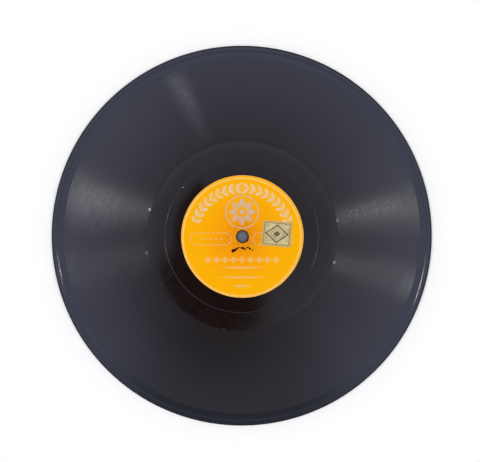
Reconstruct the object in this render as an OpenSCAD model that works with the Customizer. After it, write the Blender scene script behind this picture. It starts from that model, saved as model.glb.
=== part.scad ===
// Shellac gramophone record, 25 cm, with its paper label and a gummed royalty stamp.
// The labelled face is up, the spindle axis is Z, and the raised rim rests on the XY plane.

/* [Disc] */
// Outside diameter of the pressed disc
disc_d = 250; // [240:1:305]
// Thickness between the two playing faces
plate_t = 2; // [1.6:0.1:3]
// Diameter of the spindle hole
spindle_hole_d = 7.3; // [7.1:0.1:8]

/* [Rim] */
// How far the rim stands above each playing face
rim_rise = 0.25; // [0.1:0.05:0.5]
// Width of the rounded flank that climbs from the face to the rim's crest
rim_flank_w = 1; // [0.6:0.1:4]
// Width of the level crest that the disc rests on
rim_crest_w = 2; // [0.5:0.1:3]
// Width of the shoulder that falls from the crest to the edge
rim_shoulder_w = 1; // [0.6:0.1:3]
// How far the shoulder falls, on each side
rim_shoulder_drop = 0.4; // [0.2:0.1:0.8]

/* [Sound groove] */
// Width of the smooth land between the rim's foot and the first turn
lead_in_w = 3.5; // [0.5:0.5:6]
// Diameter at which the last turn ends
groove_end_d = 124; // [110:1:160]
// Distance from one turn to the next: five real pitches of 0.25, so each turn stands for five
groove_pitch = 1.25; // [0.75:0.125:2.75]
// Width of the groove at the face
groove_w = 0.3; // [0.2:0.02:0.5]
// Depth of the groove
groove_depth = 0.12; // [0.06:0.01:0.2]

/* [Closing groove] */
// Diameter of the closed groove that stops the needle
closing_d = 101; // [92:1:104]
// Width of the closing groove at the face
closing_w = 0.4; // [0.2:0.05:0.6]
// Depth of the closing groove
closing_depth = 0.1; // [0.05:0.01:0.2]
// How far the closing groove lies off the spindle axis
closing_shift = 0.6; // [0:0.1:1]
// Direction of that offset, counter-clockwise from +X
closing_shift_angle = 140; // [0:5:355]

/* [Label] */
// Diameter of the paper label
label_d = 80.6; // [70:0.2:86]
// Thickness of the label paper, which lies flush with the face
label_t = 0.12; // [0.08:0.02:0.3]
// Gap between the paper's edge and the wall of its seat
label_gap = 0.1; // [0.05:0.05:0.3]
// How far the paper stays back from the spindle hole all round
label_hole_gap = 0.3; // [0.1:0.1:1]

/* [Stamp] */
// Width of the stamp
stamp_w = 19.3; // [15:0.1:22]
// Height of the stamp
stamp_h = 16.4; // [14:0.1:20]
// Thickness of the gummed stamp paper
stamp_t = 0.1; // [0.06:0.02:0.2]
// Distance from the stamp's right side to the label's edge, along the label's middle line
stamp_edge_gap = 8; // [6:0.2:12]
// Distance of the stamp's middle from the spindle axis, upwards on the label
stamp_y = 1.8; // [-6:0.2:6]
// Turn of the stamp, clockwise as it was stuck on
stamp_turn = 5; // [-15:1:15]

/* [Hidden] */
$fn = 96;
// Segments of the circles whose short arcs round the rim
arc_fn = 180;

// Levels, from the surface that the rim rests on
rim_t = plate_t + 2 * rim_rise;
face_z = plate_t + rim_rise;
label_floor_z = face_z - label_t;

// Radii, from the edge inwards
disc_r = disc_d / 2;
crest_outer_r = disc_r - rim_shoulder_w;
crest_inner_r = crest_outer_r - rim_crest_w;
rim_foot_r = crest_inner_r - rim_flank_w;
groove_start_r = rim_foot_r - lead_in_w;
label_r = label_d / 2;
hole_r = spindle_hole_d / 2;
stamp_x = label_r - stamp_edge_gap - stamp_w / 2;

groove_turns = floor((groove_start_r - groove_end_d / 2) / groove_pitch);
// The cutter's teeth meet half-way between two turns, above the face, where a bar carries them
tooth_half_w = groove_pitch / 2;
tooth_root_z = groove_depth * (groove_pitch / groove_w - 1);
tooth_bar_z = tooth_root_z + groove_depth;

// Radius of an arc that starts level and falls by drop over run
function falling_arc_r(run, drop) = (run * run + drop * drop) / (2 * drop);

// Stretch of cross-section between two radii, bounded by two arcs that are level at a third
module rounded_stretch(inner_r, outer_r, level_r, arc_r) {
    intersection() {
        translate([inner_r, -rim_t])
            square([outer_r - inner_r, 3 * rim_t]);
        translate([level_r, rim_t - arc_r])
            circle(r = arc_r, $fn = arc_fn);
        translate([level_r, arc_r])
            circle(r = arc_r, $fn = arc_fn);
    }
}

// Half of the disc's cross-section, from the spindle hole to the edge
module disc_profile() {
    translate([hole_r, rim_rise])
        square([rim_foot_r - hole_r, plate_t]);
    rounded_stretch(rim_foot_r, crest_inner_r, crest_inner_r, falling_arc_r(rim_flank_w, rim_rise));
    translate([crest_inner_r, 0])
        square([rim_crest_w, rim_t]);
    rounded_stretch(crest_outer_r, disc_r, crest_outer_r, falling_arc_r(rim_shoulder_w, rim_shoulder_drop));
}

// Comb that cuts half of every turn at once: one V tooth for each turn, on a bar above the face
module half_turns(first_r) {
    outer_r = first_r + tooth_half_w;
    inner_r = outer_r - groove_turns * groove_pitch;
    tips = [for (turn = [0 : groove_turns - 1]) [first_r - turn * groove_pitch, -groove_depth]];
    teeth = [for (tip = tips, p = [[tip[0] + tooth_half_w, tooth_root_z], tip]) p];
    bar = [[inner_r, tooth_root_z], [inner_r, tooth_bar_z], [outer_r, tooth_bar_z]];
    rotate_extrude(angle = 180)
        polygon(concat(teeth, bar));
}

// One unbroken spiral, drawn from two centres half a pitch apart: each half turn of the one set
// ends where a half turn of the other begins, so the needle travels inwards counter-clockwise
module sound_groove() {
    half_turns(groove_start_r);
    translate([-groove_pitch / 2, 0, 0])
        rotate([0, 0, 180])
            half_turns(groove_start_r - groove_pitch / 2);
}

// Closed V groove, a little off centre
module closing_groove() {
    rotate([0, 0, closing_shift_angle])
        translate([closing_shift, 0, 0])
            rotate_extrude()
                translate([closing_d / 2, 0])
                    polygon([[-closing_w, closing_depth], [0, -closing_depth], [closing_w, closing_depth]]);
}

// Everything that is cut into one playing face, drawn on the plane z = 0
module face_cut() {
    sound_groove();
    closing_groove();
}

// Shallow seat that the paper is pressed into
module label_seat() {
    translate([0, 0, label_floor_z])
        cylinder(r = label_r + label_gap, h = 2 * label_t);
}

// The pressed shellac disc, with a groove on both faces
module record_disc() {
    color([0.2, 0.2, 0.23])
        difference() {
            rotate_extrude()
                disc_profile();
            translate([0, 0, face_z])
                face_cut();
            translate([0, 0, rim_rise])
                rotate([180, 0, 0])
                    face_cut();
            label_seat();
        }
}

// Paper label, flush with the face
module front_label() {
    color([0.98, 0.62, 0.06])
        translate([0, 0, label_floor_z])
            difference() {
                cylinder(r = label_r, h = label_t);
                translate([0, 0, -label_t])
                    cylinder(r = hole_r + label_hole_gap, h = 3 * label_t);
            }
}

// Small gummed stamp, stuck on the label beside the hole
module royalty_stamp() {
    color([0.74, 0.64, 0.4])
        translate([stamp_x, stamp_y, face_z])
            rotate([0, 0, -stamp_turn])
                translate([-stamp_w / 2, -stamp_h / 2, 0])
                    cube([stamp_w, stamp_h, stamp_t]);
}

record_disc();
front_label();
royalty_stamp();
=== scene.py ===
# %% [markdown]
# # A shellac record, dressed for its picture
#
# The part comes from CAD as three solids: a pressed disc, a paper label and a small gummed stamp.
# This lesson keeps their places and sizes and gives each of them a finer mesh and a finish.
# Everything is in metres, with the spindle axis on Z and the labelled face up.

# %% Load the frame
import math

import bmesh
import bpy
import numpy as np
from mathutils import Matrix, Vector


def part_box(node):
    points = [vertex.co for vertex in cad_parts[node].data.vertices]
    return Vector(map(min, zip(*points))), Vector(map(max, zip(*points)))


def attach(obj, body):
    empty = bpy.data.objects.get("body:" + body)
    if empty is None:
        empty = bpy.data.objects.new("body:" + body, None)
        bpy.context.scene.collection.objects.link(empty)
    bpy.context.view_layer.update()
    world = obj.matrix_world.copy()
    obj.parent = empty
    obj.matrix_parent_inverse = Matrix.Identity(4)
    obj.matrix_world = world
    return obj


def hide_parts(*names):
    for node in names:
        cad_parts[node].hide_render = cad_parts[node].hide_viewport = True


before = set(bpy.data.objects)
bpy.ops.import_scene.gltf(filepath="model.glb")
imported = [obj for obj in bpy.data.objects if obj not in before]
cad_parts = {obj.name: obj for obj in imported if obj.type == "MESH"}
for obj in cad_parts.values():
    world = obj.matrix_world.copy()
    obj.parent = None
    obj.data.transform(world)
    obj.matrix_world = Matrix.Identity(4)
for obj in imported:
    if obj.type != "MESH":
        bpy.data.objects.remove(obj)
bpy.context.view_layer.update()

MM = 0.001
print("CAD nodes:", sorted(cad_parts))

# %% [markdown]
# ## Sizes that the pieces share
#
# The boxes of the CAD nodes give the disc's radius, the level of the playing face and the label's
# place. Only what a box can't tell, such as the width of the rim, is written again here.

# %% Read the boxes
disc_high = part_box("record_disc")[1]
label_low, label_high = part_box("front_label")
stamp_low, stamp_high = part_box("royalty_stamp")

disc_r = disc_high.x
rim_top_z = disc_high.z
mid_z = rim_top_z / 2
face_z = label_high.z
label_r = label_high.x
label_floor_z = label_low.z

hole_r = 3.65 * MM
rim_shoulder_w = 1 * MM
rim_shoulder_drop = 0.4 * MM
rim_crest_w = 2 * MM
rim_flank_w = 1 * MM
lead_in_w = 3.5 * MM
groove_end_r = 62 * MM
closing_r = 50.5 * MM
closing_shift = 0.6 * MM
closing_shift_angle = math.radians(140)
label_gap = 0.1 * MM
print(f"disc radius {disc_r / MM:.2f} mm, label radius {label_r / MM:.2f} mm")
print(f"playing face at {face_z / MM:.2f} mm, rim up to {rim_top_z / MM:.2f} mm")

# %% [markdown]
# ## The camera
#
# The photograph looks almost straight down: the disc's outline is only a thousandth shorter one way
# than the other, which is a tilt of about three degrees. The camera could be fitted by trial, but
# the outline's centre and radius in pixels give its lens and its aim at once.

# %% Place the camera
PHOTO_W, PHOTO_H = 480, 462
PHOTO_HOLE = (242.4, 236.6)
PHOTO_DISC_R = 190.2
CAMERA_DISTANCE = 1.0
CAMERA_TILT = math.radians(2.9)
CAMERA_SIDE = math.radians(125)
SENSOR_MM = 36


def add_object(name, data):
    """A new object in the scene's own collection."""
    made = bpy.data.objects.new(name, data)
    bpy.context.scene.collection.objects.link(made)
    return made


metres_per_pixel = disc_r / PHOTO_DISC_R
camera_aim = Vector((
    (PHOTO_W / 2 - PHOTO_HOLE[0]) * metres_per_pixel,
    (PHOTO_HOLE[1] - PHOTO_H / 2) * metres_per_pixel,
    face_z,
))
camera_off = CAMERA_DISTANCE * math.sin(CAMERA_TILT)
camera_place = Vector((
    camera_off * math.cos(CAMERA_SIDE),
    camera_off * math.sin(CAMERA_SIDE),
    CAMERA_DISTANCE * math.cos(CAMERA_TILT) + face_z,
))

camera_data = bpy.data.cameras.new("photo_camera")
camera_data.sensor_fit = "HORIZONTAL"
camera_data.sensor_width = SENSOR_MM
camera_data.lens = SENSOR_MM * CAMERA_DISTANCE / (PHOTO_W * metres_per_pixel)
camera = add_object("photo_camera", camera_data)

look = (camera_aim - camera_place).normalized()
right = look.cross(Vector((0, 1, 0))).normalized()
upward = right.cross(look)
camera.matrix_world = Matrix((
    (right.x, upward.x, -look.x, camera_place.x),
    (right.y, upward.y, -look.y, camera_place.y),
    (right.z, upward.z, -look.z, camera_place.z),
    (0, 0, 0, 1),
))
bpy.context.scene.camera = camera
bpy.context.scene.view_settings.view_transform = "Standard"
print(f"lens {camera_data.lens:.1f} mm, one pixel is {metres_per_pixel / MM:.3f} mm")

# %% [markdown]
# ## Short words for numbers in a node graph
#
# A finish here is a graph of shader nodes. Laying each node by hand makes long, dull code, so a
# graph gets a few verbs, and a signal in it can be added, multiplied and divided like a number.

# %% Define numbers in a graph
class Signal:
    """One value in a node graph; arithmetic on it lays Math nodes."""

    def __init__(self, graph, socket):
        self.graph = graph
        self.socket = socket

    def __add__(self, other):
        return self.graph.math("ADD", self, other)

    def __sub__(self, other):
        return self.graph.math("SUBTRACT", self, other)

    def __rsub__(self, other):
        return self.graph.math("SUBTRACT", other, self)

    def __mul__(self, other):
        return self.graph.math("MULTIPLY", self, other)

    def __truediv__(self, other):
        return self.graph.math("DIVIDE", self, other)

    __radd__ = __add__
    __rmul__ = __mul__


class NumberGraph:
    """Verbs for the numbers in the nodes of one material or world."""

    def __init__(self, owner):
        owner.use_nodes = True
        self.tree = owner.node_tree
        self.tree.nodes.clear()

    def feed(self, socket, value):
        if isinstance(value, Signal):
            self.tree.links.new(value.socket, socket)
        else:
            socket.default_value = value

    def node(self, kind, inputs=None, **settings):
        made = self.tree.nodes.new(kind)
        for name, value in settings.items():
            setattr(made, name, value)
        for key, value in (inputs or {}).items():
            self.feed(made.inputs[key], value)
        return made

    def out(self, made, name=0):
        return Signal(self, made.outputs[name])

    def math(self, operation, *terms):
        made = self.node("ShaderNodeMath", operation=operation)
        for socket, term in zip(made.inputs, terms):
            self.feed(socket, term)
        return self.out(made)

    def absolute(self, value):
        return self.math("ABSOLUTE", value)

    def length(self, x, y):
        return self.math("SQRT", x * x + y * y)

    def least(self, first, *rest):
        for other in rest:
            first = self.math("MINIMUM", first, other)
        return first

    def most(self, first, *rest):
        for other in rest:
            first = self.math("MAXIMUM", first, other)
        return first

    def ramp(self, value, start, end, low=0.0, high=1.0):
        """A soft step: low before start, high after end."""
        limits = {"Value": value, "From Min": start, "From Max": end, "To Min": low, "To Max": high}
        return self.out(self.node("ShaderNodeMapRange", limits, interpolation_type="SMOOTHSTEP"))

    def window(self, value, rising, falling):
        """1 between two soft steps, the one up and the other down again."""
        return self.ramp(value, *rising) * self.ramp(value, *falling)


def verbs(kind):
    """The verbs that a class of graphs adds."""
    return [verb for verb in vars(kind) if not verb.startswith("_")]


print("verbs for numbers:", verbs(NumberGraph))

# %% [markdown]
# ## Short words for textures, colours and shaders
#
# A noise makes a surface uneven, a mix lays one colour over another, and a principled shader makes a
# finish of them. Node groups could hold such steps, but methods are shorter and take plain numbers as
# well as signals.

# %% Define colours and shaders in a graph
WHITE = (1, 1, 1, 1)


class Graph(NumberGraph):
    """Verbs for the places, textures, colours and shaders of one material or world."""

    def vector(self, x, y, z=0.0):
        return self.out(self.node("ShaderNodeCombineXYZ", {"X": x, "Y": y, "Z": z}))

    def parts(self, vector):
        split = self.node("ShaderNodeSeparateXYZ", {"Vector": vector})
        return [self.out(split, axis) for axis in "XYZ"]

    def object_place(self):
        """Coordinates on the piece, in millimetres from the origin."""
        place = self.out(self.node("ShaderNodeTexCoord"), "Object")
        scaled = self.node("ShaderNodeVectorMath", {0: place, 1: (1 / MM,) * 3}, operation="MULTIPLY")
        return self.out(scaled)

    def noise(self, place, scale, detail=2.0, roughness=0.5, kind="3D"):
        inputs = {
            "W" if kind == "1D" else "Vector": place,
            "Scale": scale,
            "Detail": detail,
            "Roughness": roughness,
        }
        return self.out(self.node("ShaderNodeTexNoise", inputs, noise_dimensions=kind))

    def mix(self, amount, first, second):
        """The first colour where amount is 0, the second where it is 1."""
        made = self.node("ShaderNodeMix", data_type="RGBA")
        sockets = [s for s in made.inputs if s.type == "RGBA"]
        self.feed(made.inputs["Factor"], amount)
        for socket, colour in zip(sockets, (first, second)):
            self.feed(socket, colour if isinstance(colour, Signal) else (*colour, 1))
        return Signal(self, next(s for s in made.outputs if s.type == "RGBA"))

    def bump(self, height, strength, distance):
        inputs = {"Height": height, "Strength": strength, "Distance": distance}
        return self.out(self.node("ShaderNodeBump", inputs), "Normal")

    def principled(self, **inputs):
        shader = self.node("ShaderNodeBsdfPrincipled")
        for key, value in inputs.items():
            self.feed(shader.inputs[key.replace("_", " ")], value)
        return shader

    def blend(self, amount, first, second):
        """The first shader where amount is 0, the second where it is 1."""
        made = self.node("ShaderNodeMixShader", {"Fac": amount})
        self.tree.links.new(first.outputs[0], made.inputs[1])
        self.tree.links.new(second.outputs[0], made.inputs[2])
        return made

    def surface(self, shader, output="ShaderNodeOutputMaterial"):
        """Send a shader to the output."""
        self.tree.links.new(shader.outputs[0], self.node(output).inputs["Surface"])

    def finish(self, **inputs):
        """Send a principled shader to the output."""
        self.surface(self.principled(**inputs))


def new_finish(name):
    """A new material and its empty graph."""
    material = bpy.data.materials.new(name)
    return material, Graph(material)


print("verbs for finishes:", verbs(Graph))

# %% [markdown]
# ## The room
#
# A record is almost black, so what the eye sees on it is its surroundings, mirrored at about four
# hundredths of their strength. Walls and a ceiling could be built as boxes. Drawn in the world instead,
# the room needs no geometry and is easy to tune. A direction in it is given by its slope, sideways over
# up, and most of the room is drawn by how far outwards that slope lies from a centre.

# %% Measure directions in the room
ROOM_CENTRE = (0.029, -0.041)
LOWEST_SEEN = 0.05

world = bpy.data.worlds.new("room")
bpy.context.scene.world = world
g = Graph(world)
dx, dy, dz = g.parts(g.out(g.node("ShaderNodeTexCoord"), "Generated"))
height = g.most(dz, LOWEST_SEEN)
slope_x, slope_y = dx / height, dy / height
off_x, off_y = slope_x - ROOM_CENTRE[0], slope_y - ROOM_CENTRE[1]
outward = g.length(off_x, off_y)


def facing(azimuth):
    """1 straight towards an azimuth, 0 square to it."""
    angle = math.radians(azimuth)
    return (off_x * math.cos(angle) + off_y * math.sin(angle)) / outward


print("slopes are measured from", ROOM_CENTRE)

# %% [markdown]
# ## The room's colours
#
# The room is bright and a little blue round about, dim on one side and darkest close to straight
# overhead. The camera itself sees plain white behind the disc; only mirrored and lighting rays see the
# room.

# %% Colour the room
ROOM_INNER = (0.97, 1.12, 1.32)
ROOM_NEAR = (0.93, 0.97, 1.36)
ROOM_FAR = (0.30, 0.28, 0.25)
ROOM_DIM = (0.275, 0.24, 0.255)
ROOM_SHADE = (0.015, 0.015, 0.015)
INNER_TO_NEAR = (0.04, 0.10)
NEAR_TO_FAR = (0.6, 1.4)
LEVEL_REACH = (0.02, 0.13)
CENTRE_LEVEL, NEAR_LEVEL = 0.33, 1.15
FAR_WALL_SIDE = 90
FAR_WALL_SPREAD = (0.70, 0.95)
FAR_WALL_REACH = ((0.2, 0.45), (1.6, 1.0))
FAR_WALL_DEPTH = 0.5
DIM_SIDE = 266
DIM_SPREAD = (0.66, 0.95)
DIM_REACH = ((0.045, 0.10), (0.50, 0.25))
SHADE_EDGE = (1.2, 0.8)
SHADE_OVERHEAD = (0.5, 0.8)
FAR_OUT = (2.0, 1.0)
# Centre and half size of each ellipse of shade, where it ends outwards, its depth
SHADES = (
    ((0.006, -0.086), (0.037, 0.047), FAR_OUT, 1.0),
    ((-0.007, -0.027), (0.0125, 0.032), (0.048, 0.043), 0.95),
    ((-0.033, -0.080), (0.022, 0.022), FAR_OUT, 0.4),
)


def overhead_ellipse(centre, size):
    """1 inside an ellipse of the room overhead, with a soft edge."""
    across, up = (slope_x - centre[0]) / size[0], (slope_y - centre[1]) / size[1]
    return g.ramp(g.length(across, up), *SHADE_EDGE) * g.ramp(dz, *SHADE_OVERHEAD)


room = g.mix(g.ramp(outward, *INNER_TO_NEAR), ROOM_INNER, ROOM_NEAR)
room = g.mix(g.ramp(outward, *NEAR_TO_FAR), room, ROOM_FAR)
far_wall = g.ramp(facing(FAR_WALL_SIDE), *FAR_WALL_SPREAD) * g.window(outward, *FAR_WALL_REACH)
room = g.mix(far_wall * FAR_WALL_DEPTH, room, ROOM_SHADE)
dim = g.ramp(facing(DIM_SIDE), *DIM_SPREAD) * g.window(outward, *DIM_REACH)
room = g.mix(dim, room, ROOM_DIM)
for centre, size, reach, depth in SHADES:
    shade = overhead_ellipse(centre, size) * g.ramp(outward, *reach)
    room = g.mix(shade * depth, room, ROOM_SHADE)

level = g.ramp(outward, *LEVEL_REACH, CENTRE_LEVEL, NEAR_LEVEL)
sky = g.node("ShaderNodeBackground", {"Color": room, "Strength": level})
white = g.node("ShaderNodeBackground", {"Color": WHITE, "Strength": 1.0})
camera_ray = g.out(g.node("ShaderNodeLightPath"), "Is Camera Ray")
g.surface(g.blend(camera_ray, sky, white), "ShaderNodeOutputWorld")
print("room nodes:", len(g.tree.nodes))

# %% [markdown]
# ## The lamps
#
# Grooves turn the mirror image of a lamp into a streak along the radius, on the lamp's side and
# opposite to it. The photograph shows a broad streak on each side, broader than one lamp would make
# it, so there are two lamps, nearly opposite to each other. They are small squares far off, because a
# large lamp would blur the streaks.

# %% Hang the lamps
LAMP_HEIGHT = 1.7
LAMP_SLOPE = 0.50
LAMP_TINT = (1.0, 0.98, 0.86)
# Azimuth in degrees, side in metres and power in watts
LAMPS = {"lamp_left": (169.2, 0.15, 8.4), "lamp_right": (4.5, 0.08, 5.4)}

lamp_sideways = LAMP_HEIGHT * LAMP_SLOPE
for name, (azimuth, side, power) in LAMPS.items():
    lamp_data = bpy.data.lights.new(name, "AREA")
    lamp_data.size = side
    lamp_data.energy = power
    lamp_data.color = LAMP_TINT
    lamp = add_object(name, lamp_data)
    angle = math.radians(azimuth)
    lamp.location = (lamp_sideways * math.cos(angle), lamp_sideways * math.sin(angle), LAMP_HEIGHT)
    lamp.rotation_euler = (-lamp.location).to_track_quat("-Z", "Y").to_euler()

# %% [markdown]
# ## The floor
#
# The floor is plain white and keeps the disc's thin shadow. Close to the disc it is white paint under
# the lamps; further out it is simply white to look at, so that no lamp has to be turned up for it.
# Under the hole it is painted grey, a painted shadow, as the photograph shows it there.

# %% Lay the floor
FLOOR_HALF = 12.0
FLOOR_WHITE = (0.97, 0.97, 0.88)
# Grey of the painted shadow under the hole
UNDER_HOLE_PAINTED_SHADOW = (0.146, 0.156, 0.162)
# Radii in a finish are in millimetres, as its coordinates are
PAINTED_SHADOW_EDGE = (20, 60)
FAR_FLOOR = (118, 142)

floor_mesh = bpy.data.meshes.new("floor")
corners = [(FLOOR_HALF * x, FLOOR_HALF * y, 0) for x, y in ((-1, -1), (1, -1), (1, 1), (-1, 1))]
floor_mesh.from_pydata(corners, [], [(0, 1, 2, 3)])
floor = add_object("floor", floor_mesh)

floor_white, g = new_finish("floor_white")
px, py, _ = g.parts(g.object_place())
from_axis = g.length(px, py)
# Painted shadow: grey near the axis, seen through the hole, fading to white outwards
paint = g.mix(g.ramp(from_axis, *PAINTED_SHADOW_EDGE), UNDER_HOLE_PAINTED_SHADOW, FLOOR_WHITE)
near_floor = g.principled(Base_Color=paint, Roughness=0.9, Specular_IOR_Level=0.0)
far_floor = g.node("ShaderNodeEmission", {"Color": WHITE, "Strength": 1.0})
ray = g.node("ShaderNodeLightPath")
looked_at = g.most(*[g.out(ray, f"Is {kind} Ray") for kind in ("Camera", "Glossy", "Transmission")])
g.surface(g.blend(g.ramp(from_axis, *FAR_FLOOR) * looked_at, near_floor, far_floor))
floor_mesh.materials.append(floor_white)
print(f"floor: {2 * FLOOR_HALF:.0f} m square, white to look at from {FAR_FLOOR[1]} mm outwards")

# %% [markdown]
# ## The disc's mesh
#
# The disc is one pressing: a rounded rim, a band with one spiral groove, a smooth land with the
# closing groove, and the label's seat. A turned profile could give all but the spiral. So each side is
# laid ring by ring from the edge to the hole, and every facet gets the number of its finish.
# Where the band ends, the side sinks a little, which shows as a pale and a dark line in the gloss.

# %% Lay plain rings
SEGMENTS = 144
SMOOTH, GROOVED, FILED = 0, 1, 2
DIP_R = 62.5 * MM
DIP_REACH = 5 * MM
DIP_DEPTH = 0.02 * MM

angles = np.arange(SEGMENTS) * 2 * math.pi / SEGMENTS


def dip(radius):
    """How far the face sinks where the band ends: a shallow hollow with a crease in its middle."""
    away = np.abs(radius - DIP_R) / DIP_REACH
    return DIP_DEPTH * np.clip(1 - away, 0, 1) ** 2


class FaceSkin:
    """The skin of one playing face, as rows of points from the edge inwards, about mid-thickness."""

    def __init__(self):
        self.points = []
        self.faces = []
        self.finish = []

    def row(self, radius, z):
        """One row of points; returns their numbers."""
        radius = np.broadcast_to(radius, SEGMENTS)
        z = np.broadcast_to(z, SEGMENTS)
        first = len(self.points)
        self.points.extend(zip(radius * np.cos(angles), radius * np.sin(angles), z - dip(radius)))
        return list(range(first, first + SEGMENTS))

    def face(self, corners, finish=SMOOTH):
        self.faces.append(tuple(corners))
        self.finish.append(finish)

    def join(self, outer, inner, finish=SMOOTH, segments=SEGMENTS):
        """Join two rows, all round or for the first segments only."""
        for i in range(segments):
            k = (i + 1) % SEGMENTS
            self.face((outer[i], outer[k], inner[k], inner[i]), finish)

    def rings(self, profile, last=None, finish=SMOOTH):
        """Rings for a list of (radius, z), joined to one another and to the ring before them."""
        for radius, z in profile:
            ring = self.row(radius, z)
            if last is not None:
                self.join(last, ring, finish)
            last = ring
        return last


print(f"{SEGMENTS} segments, hollow of {DIP_DEPTH / MM} mm at {DIP_R / MM} mm")

# %% [markdown]
# ## The spiral groove
#
# The needle travels inwards along one unbroken groove. Closed rings beside each other would look much
# the same, but they would be as many separate grooves. So in the band the rows become a spiral: every
# row starts where the row one turn further out ended, and two faces with many corners close its ends.

# %% Lay the spiral
GROOVE_PITCH = 0.5625 * MM
GROOVE_W = 0.12 * MM
GROOVE_DEPTH = 0.05 * MM
# Each turn has three rows: how far inwards across the groove, and how deep
GROOVE_ROWS = ((0.0, 0.0), (0.5, 1.0), (1.0, 0.0))
# Turns from the end of the spiral to the plain ring inside it
PLAIN_AFTER = 1.6


def spiral_rows(skin, turns, start_r, level):
    """The rows of the band, each one running inwards by a pitch in a turn."""
    share = np.arange(SEGMENTS) / SEGMENTS
    rows = []
    for j in range(turns * len(GROOVE_ROWS) + 1):
        turn, step = divmod(j, len(GROOVE_ROWS))
        inward, sink = GROOVE_ROWS[step]
        travelled = turn + share
        cut = (travelled > 0) & (travelled < turns - 1)
        radius = start_r - GROOVE_PITCH * travelled - GROOVE_W * inward
        rows.append(skin.row(radius, level - GROOVE_DEPTH * sink * cut))
    return rows


def spiral(skin, last, start_r, end_r, level):
    """The grooved band, joined to the ring before it; returns the plain ring inside it."""
    per_turn = len(GROOVE_ROWS)
    turns = int((start_r - end_r) / GROOVE_PITCH)
    rows = spiral_rows(skin, turns, start_r, level)
    end = SEGMENTS - 1
    for j in range(len(rows) - 1):
        outer, inner = rows[j], rows[j + 1]
        finish = GROOVED if j < (turns - 1) * per_turn else SMOOTH
        skin.join(outer, inner, finish, end)
        if j + per_turn + 1 < len(rows):
            next_outer, next_inner = rows[j + per_turn][0], rows[j + per_turn + 1][0]
            skin.face((outer[end], next_outer, next_inner, inner[end]), finish)
    skin.join(last, rows[0], segments=end)
    start_seam = [row[0] for row in rows[:per_turn + 1]]
    skin.face([last[end], last[0], *start_seam, rows[0][end]])
    plain = skin.row(start_r - GROOVE_PITCH * (turns + PLAIN_AFTER), level)
    skin.join(rows[-1], plain, segments=end)
    end_seam = [row[end] for row in rows[-1:-2 - per_turn:-1]]
    skin.face([*end_seam, rows[-1][0], plain[0], plain[end]])
    return plain


print(f"groove pitch {GROOVE_PITCH / MM} mm, width {GROOVE_W / MM} mm, depth {GROOVE_DEPTH / MM} mm")

# %% [markdown]
# ## The profile of a face
#
# From the edge inwards: a small rounding, a shoulder that falls to it, a level crest, a flank with an
# S-curve, the margin, the band, the land with its closing groove, and for the labelled face the seat.
# A bevel modifier could round the bends, but radii worked out here stay where the CAD has them.

# %% Work out the profile
# The flank's S-curve takes three quarters of the flank's width
FLANK_RUN = 0.75 * rim_flank_w
CLOSING_W = 0.5 * MM
CLOSING_DEPTH = 0.10 * MM

face_level = face_z - mid_z
crest_level = rim_top_z - mid_z
crest_outer_r = disc_r - rim_shoulder_w
crest_inner_r = crest_outer_r - rim_crest_w
rim_foot_r = crest_inner_r - rim_flank_w
flank_foot_r = crest_inner_r - FLANK_RUN
groove_start_r = rim_foot_r - lead_in_w


def falling_arc(start_r, run, drop, level, steps):
    """Points of an arc that starts level at start_r and falls by drop over run."""
    arc_r = (run * run + drop * drop) / (2 * drop)
    return [
        (start_r + run * k / steps, level - arc_r + math.sqrt(arc_r * arc_r - (run * k / steps) ** 2))
        for k in range(steps + 1)
    ]


def easing(t):
    """0 to 1 along an S-curve that starts and ends level."""
    return 0.5 - 0.5 * math.cos(math.pi * t)


def flank_point(t):
    """A point of the flank, from the crest at 0 to the face at 1."""
    return crest_inner_r - FLANK_RUN * t, face_level + (crest_level - face_level) * easing(1 - t)


def closing_rings(groove):
    """Rings that follow the closing groove, whose centre lies a little off the axis."""
    off_axis = angles - closing_shift_angle
    sideways = closing_shift * np.sin(off_axis)
    centre_line = closing_shift * np.cos(off_axis) + np.sqrt(closing_r ** 2 - sideways ** 2)
    return [(centre_line + CLOSING_W * w, face_level - CLOSING_DEPTH * d) for w, d in groove]


print(f"crest to {crest_inner_r / MM:.2f} mm, groove from {groove_start_r / MM:.2f} mm")

# %% [markdown]
# ## One face from edge to hole
#
# Narrow loops beside each bend keep the smooth shading of the bend off the flat parts, where it would
# show as a false line in the gloss. A subdivision surface would need the same loops and many more faces.

# %% Shape one face
EDGE_ROUND = 0.25 * MM
HOLE_ROUND = 0.2 * MM
SEAT_ROUND = 0.06 * MM
SEAT_CLEARANCE = 0.01 * MM
# Where the middle of a quarter round lies, as a share of its radius
ARC_MIDDLE = 0.3
SHOULDER_STEPS = 8
FLANK_STEPS = 10
FLAT_LOOP = 0.03 * MM
DIP_RINGS = (0.3, 0.5, 0.7, 0.85, 1.0)
# The closing groove's rings, across its width and down its depth
CLOSING_OUTSIDE = ((1.6, 0), (0.5, 0))
CLOSING_CUT = ((0.25, 0.5), (0, 1), (-0.25, 0.5), (-0.5, 0))
CLOSING_INSIDE = ((-1.6, 0),)


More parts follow.
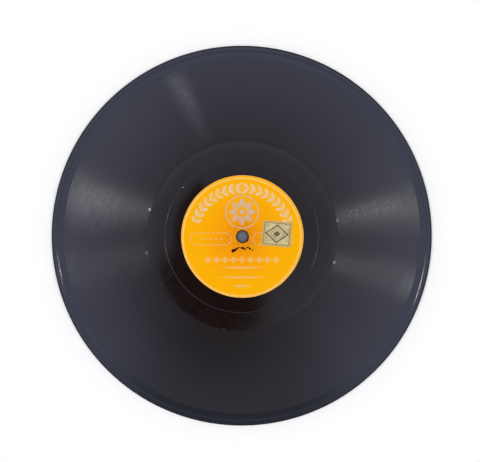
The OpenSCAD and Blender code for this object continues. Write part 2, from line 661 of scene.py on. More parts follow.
def face_skin(with_seat):
    """All the rings of one face, from the edge to the hole."""
    skin = FaceSkin()
    shoulder = falling_arc(crest_outer_r, rim_shoulder_w, rim_shoulder_drop, crest_level, SHOULDER_STEPS)
    edge_z = shoulder[-1][1]
    edge = [
        (disc_r, 0),
        (disc_r, edge_z - EDGE_ROUND),
        (disc_r - ARC_MIDDLE * EDGE_ROUND, edge_z - ARC_MIDDLE * EDGE_ROUND),
    ]
    crest = [(crest_inner_r + FLAT_LOOP, crest_level)]
    flank = [flank_point(k / FLANK_STEPS) for k in range(FLANK_STEPS + 1)]
    margin = [(flank_foot_r - FLAT_LOOP, face_level), (groove_start_r + FLAT_LOOP, face_level)]
    last = skin.rings(edge + shoulder[-2::-1], finish=FILED)
    last = skin.rings(crest + flank + margin, last)
    last = spiral(skin, last, groove_start_r, groove_end_r, face_level)
    last = skin.rings([(DIP_R - DIP_REACH * share, face_level) for share in DIP_RINGS], last)
    last = skin.rings(closing_rings(CLOSING_OUTSIDE), last)
    last = skin.rings(closing_rings(CLOSING_CUT), last, GROOVED)
    last = skin.rings(closing_rings(CLOSING_INSIDE), last)
    inner_level = face_level
    if with_seat:
        seat_r = label_r + label_gap
        inner_level = label_floor_z - mid_z - SEAT_CLEARANCE
        last = skin.rings([
            (seat_r + 4 * SEAT_ROUND, face_level),
            (seat_r + SEAT_ROUND, face_level),
            (seat_r, face_level - SEAT_ROUND),
            (seat_r, inner_level),
            (seat_r - 2 * SEAT_ROUND, inner_level),
        ], last)
    skin.rings([
        (hole_r + 3 * HOLE_ROUND, inner_level),
        (hole_r + HOLE_ROUND, inner_level),
        (hole_r + ARC_MIDDLE * HOLE_ROUND, inner_level - ARC_MIDDLE * HOLE_ROUND),
        (hole_r, inner_level - HOLE_ROUND),
        (hole_r, 0),
    ], last)
    return skin


front, back = face_skin(True), face_skin(False)
print(f"front: {len(front.faces)} faces, back: {len(back.faces)} faces")

# %% [markdown]
# ## Both faces, joined at the edge and in the hole
#
# The back is the front turned over about the X axis, so its groove also runs inwards against the
# clock. It has no seat and no paper. The two skins meet in a ring at mid-thickness, where doubled
# points are welded, and edges that bend by more than a set angle stay crisp.

# %% Weld the disc
WELD_DISTANCE = 1e-7
SHARP_ANGLE = math.radians(14)


def closed_mesh(name, points, faces, finishes=None):
    """A mesh with doubled points welded and every face turned outwards; counts its open edges."""
    mesh = bpy.data.meshes.new(name)
    mesh.from_pydata(points, [], faces)
    if finishes:
        mesh.polygons.foreach_set("material_index", finishes)
        mesh.polygons.foreach_set("use_smooth", [True] * len(finishes))
    bm = bmesh.new()
    bm.from_mesh(mesh)
    bmesh.ops.remove_doubles(bm, verts=bm.verts, dist=WELD_DISTANCE)
    bmesh.ops.recalc_face_normals(bm, faces=bm.faces)
    open_edges = sum(1 for e in bm.edges if not e.is_manifold)
    bm.to_mesh(mesh)
    bm.free()
    triangles = sum(len(p.vertices) - 2 for p in mesh.polygons)
    print(f"{name}: {len(mesh.vertices)} points, {triangles} triangles, open edges {open_edges}")
    return mesh


front_points = np.array(front.points)
back_points = np.array(back.points) * (1, -1, -1)
points = np.concatenate([front_points, back_points]) + (0, 0, mid_z)
back_faces = [tuple(i + len(front_points) for i in face) for face in back.faces]
finishes = front.finish + back.finish

disc_mesh = closed_mesh("pressed_disc", points.tolist(), front.faces + back_faces, finishes)
disc_mesh.set_sharp_from_angle(angle=SHARP_ANGLE)
disc = add_object("pressed_disc", disc_mesh)
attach(disc, "root")
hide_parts("record_disc")

# %% [markdown]
# ## Marks on shellac, and painted glints
#
# Shellac filled with slate powder and lamp black is hard, brown-black and brittle. A faint cloud of
# slate shows in it and dust lies on it. A few small glints of the lamps are painted as pale spots, since
# at half a millimetre a paler colour does as well as modelling them. The painted glints stay on the
# labelled face, the only one that is known.

# %% Draw clouds, dust and painted glints
SHELLAC_BLACK = (0.0100, 0.0047, 0.0037)
SHELLAC_GREY = (0.016, 0.015, 0.018)
# Pale colour of the painted glints
GLINT_PALE = (0.30, 0.30, 0.29)
CLOUD_SPAN = (0.35, 0.7)
DUST_R, DUST_SOFT, DRAWN_SOFT = 0.4, 0.1, 0.01
# Raggedness and soft edge of the painted glints
GLINT_RAGGED, GLINT_SOFT = 1.6, 0.3


def speckled(g, place, amount):
    """Brown-black with a faint cloud of slate dust."""
    cloud = g.noise(place, scale=0.05, detail=4.0, roughness=0.6)
    return g.mix(g.ramp(cloud, *CLOUD_SPAN) * amount, SHELLAC_BLACK, SHELLAC_GREY)


def dust(g, place, cell, share):
    """Small pale dots, in a share of the cells of a random net."""
    net = g.node("ShaderNodeTexVoronoi", {"Vector": place, "Scale": 1 / cell}, voronoi_dimensions="2D")
    drawn, size, _ = g.parts(g.out(net, "Color"))
    dot = g.ramp(g.out(net, "Distance") * cell - size * DUST_R, DUST_SOFT, -DUST_SOFT)
    return dot * g.ramp(drawn, 1 - share, 1 - share + DRAWN_SOFT)


def on_front(g, pz):
    """1 on the labelled face, 0 on the reverse."""
    return g.math("GREATER_THAN", pz, mid_z / MM)


def with_painted_glints(g, place, base, nicks):
    """A base colour with small ragged pale spots on the labelled face: painted glints of the lamps."""
    px, py, pz = g.parts(place)
    ragged = (g.noise(place, scale=1.3) - 0.5) * GLINT_RAGGED
    for glint_x, glint_y, glint_r, strength in nicks:
        off_glint = g.length(px - glint_x, py - glint_y)
        glint_spot = g.ramp(off_glint + ragged, glint_r + GLINT_SOFT, glint_r - GLINT_SOFT)
        base = g.mix(glint_spot * strength * on_front(g, pz), base, GLINT_PALE)
    return base


print(f"dust dots are up to {2 * DUST_R:.1f} mm across")

# %% [markdown]
# ## Smooth shellac
#
# The land and the margin were pressed against polished metal and are glossy. One flat black would look
# like plastic, so the gloss is uneven, sharper close to the label and duller on the crest, where the
# disc is held. The margin is also paler and bluer, partly from handling and partly as a painted sheen.

# %% Finish the smooth shellac
SHELLAC_IOR = 1.5
# Paler, bluer margin: wear from handling and a painted sheen
MARGIN_HANDLED_AND_SHEEN = (0.0075, 0.0105, 0.0155)
DUST_GREY = (0.16, 0.16, 0.15)
# A noise mostly keeps between these values
NOISE_SPAN = (0.3, 0.7)
LAND_CLOUD = 0.2
HANDLED_AND_SHEEN_FROM = (116, 118)
LAND_DUST_CELL, LAND_DUST_SHARE = 6.0, 0.03
# Place and radius in millimetres, and strength of each painted glint
LAND_GLINTS = ((-39.05, 32.3, 0.45, 1.0),)
LAND_ROUGHNESS = (0.045, 0.08)
POLISHED_TO, POLISHED_SHARE = (47, 53), 0.5
CREST_FROM, CREST_ROUGHER = (119, 121), 0.04

smooth_shellac, g = new_finish("smooth_shellac")
place = g.object_place()
px, py, _ = g.parts(place)
radius = g.length(px, py)
handled_and_sheen = g.mix(g.ramp(radius, *HANDLED_AND_SHEEN_FROM), speckled(g, place, LAND_CLOUD), MARGIN_HANDLED_AND_SHEEN)
# A painted glint on the closing groove
glinted = with_painted_glints(g, place, handled_and_sheen, LAND_GLINTS)
polish = g.ramp(g.noise(place, scale=0.3, detail=3.0), *NOISE_SPAN, *LAND_ROUGHNESS)
polish = polish * g.ramp(radius, *POLISHED_TO, POLISHED_SHARE, 1.0)
g.finish(
    Base_Color=g.mix(dust(g, place, LAND_DUST_CELL, LAND_DUST_SHARE), glinted, DUST_GREY),
    Roughness=polish + g.ramp(radius, *CREST_FROM, 0.0, CREST_ROUGHER),
    IOR=SHELLAC_IOR,
)
disc_mesh.materials.append(smooth_shellac)
print("smooth shellac nodes:", len(g.tree.nodes))

# %% [markdown]
# ## The worn band and its painted sheen
#
# Playing turns the groove's black to a paler grey, more so further out, and that paler, bluer grey is
# also a painted sheen. The streaks get pale patches of painted sheen as well. A single noise would
# spread them evenly, but the photograph shows them in patches beside the streaks. So each patch is
# given by its azimuth, its width and the radii between which it lies, and is mottled along the groove.

# %% Wear the band and paint its sheen
GROOVE_FRESH = (0.0048, 0.0014, 0.0004)
# Paler, bluer grey outwards: wear from playing and a painted sheen
GROOVE_WORN_AND_SHEEN = (0.0120, 0.0125, 0.0150)
# Grey of the painted sheen patches along the streaks
PAINTED_STREAK_GREY = (0.070, 0.070, 0.072)
WORN_AND_SHEEN_REACH = (62, 118)
TO_THE_EDGE = (130, 125)
# Painted sheen along the streaks: azimuth, lean to the millimetre and half width in degrees, radii where it
# rises and falls, strength
PAINTED_STREAKS = (
    (110.8, 0.045, 6.0, (60, 106), (121, 111), 0.62),
    (107.1, 0.127, 2.8, (84, 98), (117, 109), 0.42),
    (168.6, 0.0, 13.0, (60, 106), (119, 108), 0.74),
    (12.4, 0.0, 6.0, (55, 90), (113, 100), 0.40),
    (-16.5, 0.0, 7.0, (102, 117), TO_THE_EDGE, 0.72),
    (138.0, 0.0, 32.0, (70, 100), TO_THE_EDGE, 0.08),
    (28.0, 0.0, 16.0, (70, 95), TO_THE_EDGE, 0.08),
    (-172.0, 0.0, 8.0, (104, 117), TO_THE_EDGE, 0.16),
)
LEANS_FROM = 64
# Waves of a mark to the millimetre along the radius, and to the degree round the spindle
STREAK_GRAIN = (0.40, 0.22)
STREAK_MOTTLE = (0.6, 1.15)

grooved_shellac, g = new_finish("grooved_shellac")
place = g.object_place()
px, py, pz = g.parts(place)
radius = g.length(px, py)
around = g.math("ARCTAN2", py, px) * (180 / math.pi)
front_only = on_front(g, pz)


def round_grain(grain):
    """Coordinates for a noise that is drawn out round the spindle."""
    return g.vector(radius * grain[0], around * grain[1])


wear_and_painted_light = g.mix(g.ramp(radius, *WORN_AND_SHEEN_REACH), GROOVE_FRESH, GROOVE_WORN_AND_SHEEN)
mottle = g.noise(round_grain(STREAK_GRAIN), scale=1.0, detail=4.0, roughness=0.6)
mottle = g.ramp(mottle, *NOISE_SPAN, *STREAK_MOTTLE)
# Painted sheen: pale patches along the lamps' streaks
for azimuth, lean, half_width, rising, falling, strength in PAINTED_STREAKS:
    off_streak = g.absolute(around - (radius - LEANS_FROM) * lean - azimuth)
    painted_streak = g.ramp(off_streak, half_width, 0.0) * g.window(radius, rising, falling)
    wear_and_painted_light = g.mix(painted_streak * mottle * strength * front_only, wear_and_painted_light, PAINTED_STREAK_GREY)
print("wiped patches:", len(PAINTED_STREAKS))

# %% [markdown]
# ## Painted sparkle and glints
#
# In the two streaks the photograph shows a grain of pale flecks and of short strokes that run with the
# groove, and at the band's inner end a few glints. Both are painted highlights: pale flecks and strokes
# only in the streaks, and pale spots at the inner end. A net of random cells gives the flecks, and a
# noise that is drawn out round the spindle gives the strokes.

# %% Paint sparkle in the streaks
SPARKLE_GREY = (0.15, 0.15, 0.15)
# Painted sparkle: azimuth in degrees, radii where the flecks rise and fall
SPARKLED_STREAKS = (
    (164.3, (72, 94), (114, 106)),
    (11.6, (64, 74), (110, 98)),
)
SPARKLE_CELL, SPARKLE_SHARE, SPARKLE_SPREAD = 1.5, 0.38, (3.5, 0.5)
SPARKLE_STROKE_GRAIN = (1.3, 0.5)
SPARKLE_STROKE_SPAN, SPARKLE_STROKE_STRENGTH, SPARKLE_STROKE_SPREAD = (0.50, 0.74), 0.40, (5.0, 1.0)
# Painted glints at the band's inner end, where the streaks begin
BAND_GLINTS = (
    (-60.7, 17.8, 1.0, 1.0),
    (-60.6, 11.7, 0.5, 0.5),
    (-63.0, -10.5, 0.9, 0.3),
    (62.4, 10.4, 0.9, 0.6),
    (60.3, -17.1, 0.8, 0.9),
)
BAND_DUST_CELL, BAND_DUST_SHARE = 7.0, 0.02

sparkle_strokes = g.ramp(g.noise(round_grain(SPARKLE_STROKE_GRAIN), scale=1.0), *SPARKLE_STROKE_SPAN) * SPARKLE_STROKE_STRENGTH
sparkle_flecks = dust(g, place, SPARKLE_CELL, SPARKLE_SHARE)
for azimuth, rising, falling in SPARKLED_STREAKS:
    off_sparkle = g.absolute(around - azimuth)
    near_sparkle_strokes = sparkle_strokes * g.ramp(off_sparkle, *SPARKLE_STROKE_SPREAD)
    near_sparkle_flecks = sparkle_flecks * g.ramp(off_sparkle, *SPARKLE_SPREAD)
    reach = g.window(radius, rising, falling) * front_only
    # Painted highlights: pale sparkle only in the streaks
    wear_and_painted_light = g.mix(g.most(near_sparkle_strokes, near_sparkle_flecks) * reach, wear_and_painted_light, SPARKLE_GREY)
# Painted glints of the lamps at the inner ends of the streaks
wear_and_painted_light = with_painted_glints(g, place, wear_and_painted_light, BAND_GLINTS)
wear_and_painted_light = g.mix(dust(g, place, BAND_DUST_CELL, BAND_DUST_SHARE), wear_and_painted_light, DUST_GREY)
print(f"{len(SPARKLED_STREAKS)} sparkled streaks, {len(BAND_GLINTS)} glints")

# %% [markdown]
# ## The gloss of the band
#
# Grooves spread a reflection outwards and inwards but not sideways. The mesh has too few turns to do
# that alone, so anisotropy does it, with the tangent laid round the spindle. A coat on top still
# mirrors, and a fine bump breaks the mirror image up.

# %% Finish the grooved shellac
SCUFF_DEPTH = 0.03 * MM
BAND_ROUGHNESS = (0.20, 0.24)

tracks = g.noise(radius, scale=0.9, detail=2.0, roughness=0.6, kind="1D")
scuffed = g.noise(place, scale=1.1, detail=1.0)
g.finish(
    Base_Color=wear_and_painted_light,
    Roughness=g.ramp(tracks, *NOISE_SPAN, *BAND_ROUGHNESS),
    IOR=SHELLAC_IOR,
    Specular_IOR_Level=0.25,
    Anisotropic=1.0,
    Anisotropic_Rotation=0.25,
    Tangent=g.out(g.node("ShaderNodeTangent", direction_type="RADIAL", axis="Z")),
    Normal=g.bump(scuffed, strength=1.0, distance=SCUFF_DEPTH),
    Coat_Weight=0.7,
    Coat_Roughness=0.10,
    Coat_IOR=SHELLAC_IOR,
)
disc_mesh.materials.append(grooved_shellac)
print("grooved shellac nodes:", len(g.tree.nodes))

# %% [markdown]
# ## The filed edge
#
# A fresh pressing has a thin flash all round, which is filed away. That leaves the edge dull and
# greyer than the faces. A rougher shellac with more slate in it shows that.

# %% Finish the filed edge
EDGE_CLOUD = 0.8
EDGE_ROUGHNESS = (0.45, 0.6)

filed_shellac, g = new_finish("filed_shellac")
place = g.object_place()
g.finish(
    Base_Color=speckled(g, place, EDGE_CLOUD),
    Roughness=g.ramp(g.noise(place, scale=1.5, detail=3.0), *NOISE_SPAN, *EDGE_ROUGHNESS),
    IOR=SHELLAC_IOR,
    Specular_IOR_Level=0.2,
)
disc_mesh.materials.append(filed_shellac)
print("shellac:", [m.name for m in disc_mesh.materials])

# %% [markdown]
# ## The label's paper
#
# The label is a round of thin paper that was pressed into the disc while the shellac was hot. A flat
# round would do from afar, but the real edge is cut by hand and the spindle has frayed the middle,
# so both edges wander a little and the sheet is a closed solid of its own thickness.

# %% Let the paper's edges wander
LABEL_SEGMENTS = 240
LABEL_HOLE_GAP = 0.3 * MM
EDGE_WANDER, EDGE_WAVES, EDGE_SEED = 0.10 * MM, range(2, 30), 3
FRAY, FRAY_WAVES, FRAY_SEED = 0.24 * MM, range(3, 60), 5
NOTCH_AT, NOTCH_SPREAD, NOTCH_DEPTH = math.radians(322), math.radians(14), 0.6 * MM

label_angles = np.arange(LABEL_SEGMENTS) * 2 * math.pi / LABEL_SEGMENTS


def wander(angles, waves, seed):
    """A smooth random line round the circle, about -1 to 1, from a few waves."""
    draw = np.random.default_rng(seed)
    line = sum(draw.normal() * np.cos(n * angles + draw.uniform(0, 2 * math.pi)) for n in waves)
    return line / np.abs(line).max()


label_outer = label_r - EDGE_WANDER * (0.5 + 0.5 * wander(label_angles, EDGE_WAVES, EDGE_SEED))
label_inner = hole_r + LABEL_HOLE_GAP + FRAY * (1 + wander(label_angles, FRAY_WAVES, FRAY_SEED))
label_inner += NOTCH_DEPTH * np.exp(-((label_angles - NOTCH_AT) / NOTCH_SPREAD) ** 2)
print(f"paper from {label_inner.min() / MM:.2f} to {label_outer.max() / MM:.2f} mm from the axis")

# %% Cut the label
# Rows of the sheet, as shares of the way from the hole to the edge
LABEL_SHARES = (0, 0.02, 0.06, 0.15, 0.3, 0.45, 0.6, 0.75, 0.9, 0.97, 1.0)


def label_row(share, z):
    """A row of the sheet, at a share of the way from the hole to the edge."""
    radius = label_inner + (label_outer - label_inner) * share
    x, y = radius * np.cos(label_angles), radius * np.sin(label_angles)
    return np.column_stack([x, y, np.full(LABEL_SEGMENTS, z)])


def ring_faces(count, segments):
    """Faces of a closed loop of rows, each row being a ring of points."""
    faces = []
    for a in range(count):
        b = (a + 1) % count
        for i in range(segments):
            k = (i + 1) % segments
            faces.append((a * segments + i, a * segments + k, b * segments + k, b * segments + i))
    return faces


label_rows = [label_row(share, face_z) for share in LABEL_SHARES]
label_rows += [label_row(share, label_floor_z) for share in reversed(LABEL_SHARES)]
label_points = np.concatenate(label_rows).tolist()
label_mesh = closed_mesh("paper_label", label_points, ring_faces(len(label_rows), LABEL_SEGMENTS))
label = add_object("paper_label", label_mesh)
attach(label, "root")
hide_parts("front_label")

# %% [markdown]
# ## The label's print
#
# The print is pale ink on bright orange paper. It carries plain printer's ornaments: a ring, a leaf
# garland, a rosette, two framed rows of dots, a row of lozenges and swelled rules. An image could hold
# them, but each is a distance in millimetres, worked out from the place on the paper, so it stays sharp
# at any zoom.

# %% Define outlines in ink
INK_SOFT = 0.16


def inside(g, distance):
    """1 where a distance to an outline is below zero, with a soft edge."""
    return g.ramp(distance, INK_SOFT, -INK_SOFT)


def stroke(g, distance, width):
    """A line of a width along an outline."""
    return inside(g, g.absolute(distance) - width / 2)


def repeat(g, value, pitch):
    """The place within one of many equal cells, from minus to plus half a pitch."""
    return g.math("FLOORED_MODULO", value + pitch / 2, pitch) - pitch / 2


print(f"edges of ink are {2 * INK_SOFT} mm soft")

# %% Draw the ornaments above the hole
def border(g, x, y):
    """A ring near the paper's edge."""
    ring_r, line_w = 38.75, 0.95
    return stroke(g, g.length(x, y) - ring_r, line_w)


def garland(g, x, y):
    """Pairs of leaves on a stem, along an arc over the top."""
    arc_r, pitch, reach, stem_half_w = 32.2, 4.6, math.radians(72), 0.22
    leaf_long, leaf_wide, leaf_out, lean = 2.6, 1.1, 1.85, math.radians(38)
    from_top = g.absolute(g.math("ARCTAN2", x, y))
    off_stem = g.absolute(g.length(x, y) - arc_r)
    along = repeat(g, from_top * arc_r + pitch / 2, pitch)
    up = off_stem - leaf_out
    lengthwise = (along * math.cos(lean) - up * math.sin(lean)) / leaf_long
    sideways = g.absolute(along * math.sin(lean) + up * math.cos(lean))
    leaf = inside(g, sideways - leaf_wide * (1 - lengthwise * lengthwise))
    stem = inside(g, off_stem - stem_half_w)
    return g.most(leaf, stem) * inside(g, (from_top - reach) * arc_r)


def rosette(g, x, y):
    """Petals in a ring, above the hole."""
    centre_y, ring_r, line_w, eye_r = 16.7, 10.7, 0.75, 1.7
    petal_count, petal_in, petal_out, bluntness, overlap = 8, 2.9, 8.6, 0.6, 0.5
    up = y - centre_y
    rho = g.length(x, up)
    lobes = g.absolute(g.math("COSINE", g.math("ARCTAN2", up, x) * (petal_count / 2)))
    tip = petal_in + (petal_out - petal_in) * g.math("POWER", lobes, bluntness)
    petals = inside(g, rho - tip) * inside(g, petal_in + overlap - rho)
    return g.most(petals, inside(g, rho - eye_r), stroke(g, rho - ring_r, line_w))


print("ornaments:", [draw.__name__ for draw in (border, garland, rosette)])

# %% Draw the ornaments beside and below the hole
def framed_dots(g, x, y):
    """A round-ended frame on each side of the hole, with a row of dots."""
    centre_x, centre_y, half_w, half_h, line_w = 20.4, -1.1, 13.4, 3.9, 0.6
    pitch, dot_r, reach = 3.4, 0.75, 8.6
    across = g.absolute(x) - centre_x
    up = y - centre_y
    overhang = g.most(g.absolute(across) - (half_w - half_h), 0.0)
    frame_line = stroke(g, g.length(overhang, up) - half_h, line_w)
    dots = inside(g, g.length(repeat(g, across, pitch), up) - dot_r)
    return g.most(frame_line, dots * inside(g, g.absolute(across) - reach))


def lozenges(g, x, y):
    """A row of lozenges with small dots between, below the hole."""
    row_y, pitch, half_w, half_h, reach = -14.8, 5.6, 1.9, 2.3, 25.2
    slant, dot_r = 1.4, 0.55
    cell = g.absolute(repeat(g, x, pitch))
    up = g.absolute(y - row_y)
    diamond = inside(g, (cell / half_w + up / half_h - 1) * slant)
    dot = inside(g, g.length(cell - pitch / 2, up) - dot_r)
    return g.most(diamond, dot) * inside(g, g.absolute(x) - reach)


def swelled_rules(g, x, y):
    """Rules that are thick in the middle and run out to points, in the lower part."""
    rules = []
    for row_y, reach, thick in ((-20.0, 14.0, 0.75), (-26.4, 14.6, 0.75), (-32.0, 6.0, 0.8)):
        taper = 1 - (x / reach) * (x / reach)
        rules.append(inside(g, g.absolute(y - row_y) - taper * thick))
    return g.most(*rules)


print("ornaments:", [draw.__name__ for draw in (framed_dots, lozenges, swelled_rules)])

# %% [markdown]
# ## The label's colours
#
# The paper is a warm orange that is redder towards the middle, rubbed round the hole and bare at its
# cut edge. The ink lies on it in patches, because wear takes ink away. One noise for each kind of wear
# keeps them apart.

# %% Colour the paper
ORANGE = (0.985, 0.448, 0.0006)
ORANGE_INNER = (0.940, 0.325, 0.0015)
ORANGE_RUBBED = (0.66, 0.22, 0.006)
PAPER_EDGE = (0.90, 0.60, 0.22)
INNER_REACH, INNER_WANDER = (4, 34), 14
RUBBED_REACH, RUBBED_DEPTH = (14, 4), 0.7
BARE_REACH, BARE_WANDER, BARE_DEPTH = (-0.1, 0.3), 0.8, 0.6

label_paper, g = new_finish("label_paper")
place = g.object_place()
px, py, _ = g.parts(place)
from_hole = g.length(px, py)
past_edge = from_hole - label_r / MM

uneven = (g.noise(place, scale=0.08, detail=3.0) - 0.5) * INNER_WANDER
tone = g.mix(g.ramp(from_hole + uneven, *INNER_REACH), ORANGE_INNER, ORANGE)
rubbed = g.ramp(g.noise(place, scale=0.25, detail=4.0, roughness=0.6), *NOISE_SPAN)
tone = g.mix(g.ramp(from_hole, *RUBBED_REACH) * rubbed * RUBBED_DEPTH, tone, ORANGE_RUBBED)
bare_edge = g.ramp(past_edge + g.noise(place, scale=0.3, detail=3.0) * BARE_WANDER, *BARE_REACH)
tone = g.mix(bare_edge * BARE_DEPTH, tone, PAPER_EDGE)
print("plain paper nodes:", len(g.tree.nodes))

# %% Print the ornaments
PRINT_SHIFT = (-0.25, -0.45)
INK_PALE = (0.80, 0.60, 0.31)
INK_GREY = (0.53, 0.49, 0.37)
INK_FRAME = (0.84, 0.48, 0.15)
INK_RING = (0.96, 0.62, 0.19)
WEAR_SPAN, LEAST_INK = (0.30, 0.62), 0.35
# What is printed, its ink and how strongly it covers
PRINT = (
    (border, INK_RING, 0.95),
    (garland, INK_PALE, 0.95),
    (rosette, INK_GREY, 0.9),
    (framed_dots, INK_FRAME, 0.85),
    (lozenges, INK_PALE, 0.55),
    (swelled_rules, INK_PALE, 0.45),
)

x, y = px - PRINT_SHIFT[0], py - PRINT_SHIFT[1]
wear = g.ramp(g.noise(place, scale=0.55, detail=5.0, roughness=0.65), *WEAR_SPAN, LEAST_INK, 1.0)
for ornament, ink, strength in PRINT:
    tone = g.mix(ornament(g, x, y) * wear * strength, tone, ink)
print("printed paper nodes:", len(g.tree.nodes))

# %% [markdown]
# ## Scrapes in the paper
#
# A spindle that misses the hole scrapes the paper through to the dark shellac, and the hole's edge
# frays. Cutting that out of the mesh would leave splinters, so it is a dark colour: tapering marks
# under the hole, specks round it and a ragged ring at its edge.

# %% Scrape and finish the label
TORN = (0.045, 0.010, 0.003)
SPECK_SPAN, SPECK_REACH, SPECK_DEPTH = (0.62, 0.66), (22, 7), 0.8
FRAYED_REACH, FRAYED_WANDER = (5.3, 4.7), 1.4
SCRAPE_RAGGED = 1.2
FIBRE_DEPTH = 0.05 * MM
# Start, end and the radius at each, in millimetres
SCUFFS = (
    ((-6.2, -9.4), (-1.8, -7.0), 1.15, 0.3),
    ((-0.4, -7.4), (2.0, -8.3), 0.8, 0.5),
    ((3.4, -7.1), (3.8, -7.3), 0.6, 0.5),
    ((4.8, -8.0), (5.1, -8.2), 0.7, 0.6),
    ((6.7, -8.9), (6.9, -9.0), 0.5, 0.4),
)


def scuff(g, x, y, start, end, start_r, end_r):
    """Distance to a bare mark that tapers from one end to the other."""
    run_x, run_y = end[0] - start[0], end[1] - start[1]
    ax, ay = x - start[0], y - start[1]
    along = g.least(g.most((ax * run_x + ay * run_y) / (run_x ** 2 + run_y ** 2), 0.0), 1.0)
    return g.length(ax - along * run_x, ay - along * run_y) - along * (end_r - start_r) - start_r


def paper_finish(g, place, tone, fibre_scale, relief, roughness, gloss):
    """Dull paper with a fine grain of fibres."""
    fibre = g.noise(place, fibre_scale, detail=4.0, roughness=0.7)
    grain = g.bump(fibre, strength=relief, distance=FIBRE_DEPTH)
    g.finish(Base_Color=tone, Roughness=roughness, Specular_IOR_Level=gloss, Normal=grain)


ragged = (g.noise(place, scale=0.9, detail=3.0, roughness=0.6) - 0.5) * SCRAPE_RAGGED
scraped = inside(g, g.least(*[scuff(g, px, py, *mark) for mark in SCUFFS]) + ragged)
specks = g.ramp(g.noise(place, scale=1.1, detail=3.0, roughness=0.6), *SPECK_SPAN)
specks = specks * g.ramp(from_hole, *SPECK_REACH) * SPECK_DEPTH
frayed = g.ramp(from_hole + g.noise(place, scale=0.9, detail=3.0) * FRAYED_WANDER, *FRAYED_REACH)
tone = g.mix(g.most(scraped, specks, frayed), tone, TORN)

paper_finish(g, place, tone, fibre_scale=3.0, relief=0.12, roughness=0.8, gloss=0.05)
label_mesh.materials.append(label_paper)
print("label nodes:", len(g.tree.nodes))

# %% [markdown]
# ## The stamp
#
# A small gummed stamp was stuck on the label to show that a fee was paid. It is thin paper, a little
# crooked, and its corners have begun to lift. A flat box would look printed on, so the sheet is a grid
# of cells with wavy sides, and each corner rises by a high power of its distance from the middle.

# %% Bend the stamp's sheet
STAMP_W, STAMP_H = 19.3 * MM, 16.4 * MM
STAMP_TURN = math.radians(5)
CORNER_LIFT, CORNER_POWER, LOW_CORNERS = 0.30 * MM, 5, 0.5
# Depth, waves and start of the wave in the upright sides, and in the level ones
UPRIGHT_WAVE, LEVEL_WAVE = (0.006, 9, 1), (0.008, 7, 0)

stamp_centre = (stamp_low + stamp_high) / 2
stamp_t = stamp_high.z - stamp_low.z


def wavy(along, depth, waves, start):
    """A factor close to 1 that lets a side of the sheet wave a little."""
    return 1 - depth * math.sin(waves * along + start)


def stamp_point(u, v, side):
    """A point of the sheet; u and v run from -1 to 1 across it, side is 0 below and 1 above."""
    x = u * STAMP_W / 2 * wavy(v, *UPRIGHT_WAVE)
    y = v * STAMP_H / 2 * wavy(u, *LEVEL_WAVE)
    lift = CORNER_LIFT * (abs(u) * abs(v)) ** CORNER_POWER * (1.0 if u * v > 0 else LOW_CORNERS)
    return (
        stamp_centre.x + x * math.cos(STAMP_TURN) + y * math.sin(STAMP_TURN),
        stamp_centre.y - x * math.sin(STAMP_TURN) + y * math.cos(STAMP_TURN),
        stamp_low.z + lift + stamp_t * side,
    )


print(f"stamp: centre {stamp_centre.x / MM:.2f}, {stamp_centre.y / MM:.2f} mm, {stamp_t / MM:.2f} mm thick")

# %% Cut the stamp
STAMP_CELLS = (24, 20)

columns, rows = STAMP_CELLS


def corner(side, j, i):
    """The number of a point, by its sheet, row and column."""
    return (side * (rows + 1) + j) * (columns + 1) + i


stamp_points = [
    stamp_point(2 * i / columns - 1, 2 * j / rows - 1, side)
    for side in (0, 1)
    for j in range(rows + 1)
    for i in range(columns + 1)
]
stamp_faces = [
    (corner(side, j, i), corner(side, j, i + 1), corner(side, j + 1, i + 1), corner(side, j + 1, i))
    for side in (0, 1)
    for j in range(rows)
    for i in range(columns)
]
rim = [(0, i) for i in range(columns)] + [(j, columns) for j in range(rows)]
rim += [(rows, i) for i in range(columns, 0, -1)] + [(j, 0) for j in range(rows, 0, -1)]
for here, there in zip(rim, rim[1:] + rim[:1]):
    stamp_faces.append((corner(0, *here), corner(0, *there), corner(1, *there), corner(1, *here)))

stamp_mesh = closed_mesh("gummed_stamp", stamp_points, stamp_faces)
stamp = add_object("gummed_stamp", stamp_mesh)
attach(stamp, "root")
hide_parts("royalty_stamp")

# %% [markdown]
# ## The stamp's finish
#
# The stamp's paper has yellowed unevenly. Its print is a frame, fine engraved lines and a plain
# lozenge inside another. They are drawn in the stamp's own directions, turned with it, so that they
# stay square to its sides.

# %% Colour the stamp
STAMP_FIELD = (0.49, 0.388, 0.146)
STAMP_PALE = (0.76, 0.62, 0.31)
STAMP_MARGIN = (0.53, 0.40, 0.15)
MARGIN_W, MARGIN_SOFT = 1.35, 0.1

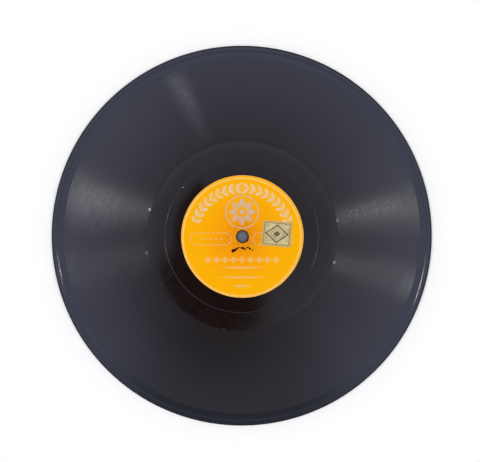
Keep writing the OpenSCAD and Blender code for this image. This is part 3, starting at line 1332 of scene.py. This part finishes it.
stamp_paper, g = new_finish("stamp_paper")
place = g.object_place()
px, py, _ = g.parts(place)
dx, dy = px - stamp_centre.x / MM, py - stamp_centre.y / MM
u = dx * math.cos(STAMP_TURN) - dy * math.sin(STAMP_TURN)
v = dx * math.sin(STAMP_TURN) + dy * math.cos(STAMP_TURN)
past_side = g.absolute(u) - (STAMP_W / MM / 2 - MARGIN_W)
past_top = g.absolute(v) - (STAMP_H / MM / 2 - MARGIN_W)
box_off = g.most(past_side, past_top)
stain = g.ramp(g.noise(place, scale=0.35, detail=4.0, roughness=0.6), *NOISE_SPAN)
field = g.mix(stain, STAMP_FIELD, STAMP_PALE)
tone = g.mix(g.ramp(box_off, MARGIN_SOFT, -MARGIN_SOFT), STAMP_MARGIN, field)
print("plain stamp nodes:", len(g.tree.nodes))

# %% Print and finish the stamp
STAMP_INK = (0.042, 0.042, 0.020)
STAMP_TEAL = (0.12, 0.19, 0.13)
ENGRAVED_PITCH, ENGRAVED_W, ENGRAVED_INSET = 0.95, 0.3, 0.5
LOZENGE_HALF_W, LOZENGE_HALF_H, LOZENGE_SLANT = 7.2, 5.6, 4
OUTER_SHARE, OUTER_W = 1.0, 0.75
INNER_SHARE, INNER_W = 0.66, 0.5
HEART_SHARE = 0.36
FRAME_W = 0.34

diamond = g.absolute(u) / LOZENGE_HALF_W + g.absolute(v) / LOZENGE_HALF_H


def lozenge(share):
    """Distance to a lozenge of a share of the full size."""
    return (diamond - share) * LOZENGE_SLANT


engraved = stroke(g, repeat(g, v, ENGRAVED_PITCH), ENGRAVED_W) * inside(g, box_off + ENGRAVED_INSET)
for mark, ink, strength in (
    (engraved, STAMP_TEAL, 0.25),
    (stroke(g, lozenge(OUTER_SHARE), OUTER_W), STAMP_INK, 0.85),
    (stroke(g, lozenge(INNER_SHARE), INNER_W), STAMP_TEAL, 0.6),
    (inside(g, lozenge(HEART_SHARE)), STAMP_INK, 0.8),
    (stroke(g, box_off, FRAME_W), STAMP_INK, 0.85),
):
    tone = g.mix(mark * strength, tone, ink)

paper_finish(g, place, tone, fibre_scale=3.5, relief=0.15, roughness=0.7, gloss=0.15)
stamp_mesh.materials.append(stamp_paper)
print("stamp nodes:", len(g.tree.nodes))

# %% [markdown] ## The last lines
